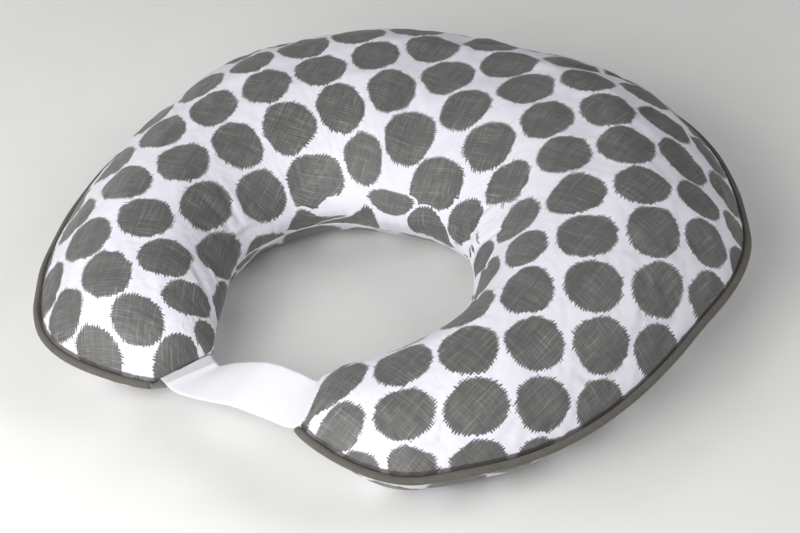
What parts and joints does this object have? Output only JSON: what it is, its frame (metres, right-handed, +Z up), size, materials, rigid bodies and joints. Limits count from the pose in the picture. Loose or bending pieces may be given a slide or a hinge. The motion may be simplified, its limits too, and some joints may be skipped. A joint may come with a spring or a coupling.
{
  "type": "nursing pillow",
  "caption": "C-shaped stuffed nursing pillow with a zipped, piped cotton cover and an elastic band across the tips.",
  "frame": {"origin": "centre of the footprint, on the floor that the pillow lies on", "axes": "+Z up, +Y towards the closed back of the C, so the opening faces -Y; +X to the right as seen from the opening"},
  "size_m": [0.5667, 0.5269, 0.146],
  "materials": {
    "cover_cloth": "slub-woven white cotton with charcoal dots",
    "casing_cloth": "plain off-white cotton",
    "fibre_fill": "polyester fibre",
    "piping_tape": "taupe bias tape",
    "cotton_cord": "twisted cotton cord",
    "band_knit": "smooth white stretch knit",
    "zip_tape": "woven polyester tape",
    "zip_coil": "nylon monofilament",
    "zip_metal": "nickel plated",
    "label_satin": "blank white satin"
  },
  "bodies": {
    "left_half": {"cover_upper_left": "cover_cloth", "cover_lower_left": "cover_cloth", "casing_upper_left": "casing_cloth", "casing_lower_left": "casing_cloth", "fill_left": "fibre_fill", "piping_cover_left": "piping_tape", "piping_cord_left": "cotton_cord", "band": "band_knit", "zip_tape_upper": "zip_tape", "zip_tape_lower": "zip_tape", "zip_coil_upper": "zip_coil", "zip_coil_lower": "zip_coil", "zip_top_stop": "zip_metal", "zip_bottom_stop": "zip_metal", "care_label": "label_satin"},
    "right_half": {"cover_upper_right": "cover_cloth", "cover_lower_right": "cover_cloth", "casing_upper_right": "casing_cloth", "casing_lower_right": "casing_cloth", "fill_right": "fibre_fill", "piping_cover_right": "piping_tape", "piping_cord_right": "cotton_cord"},
    "slider": {"zip_slider": "zip_metal"},
    "pull": {"zip_pull": "zip_metal"}
  },
  "joints": [
    {"name": "arm_spread", "type": "hinge", "parent": "left_half", "child": "right_half", "pos_m": [0, 0.1275, 0.066], "axis": [0, 0, 1], "range_deg": [-7, 14], "stiffness_Nm_per_rad": 15, "deforming": ["band"]},
    {"name": "zip_slide", "type": "hinge", "parent": "left_half", "child": "slider", "pos_m": [0, -0.0505, 0.058], "axis": [0, 0, -1], "range_deg": [0, 37.3]},
    {"name": "pull_swing", "type": "hinge", "parent": "slider", "child": "pull", "pos_m": [-0.24157, 0.13834, 0.057], "axis": [0.6159, 0.7878, 0], "range_deg": [-12, 120]}
  ]
}
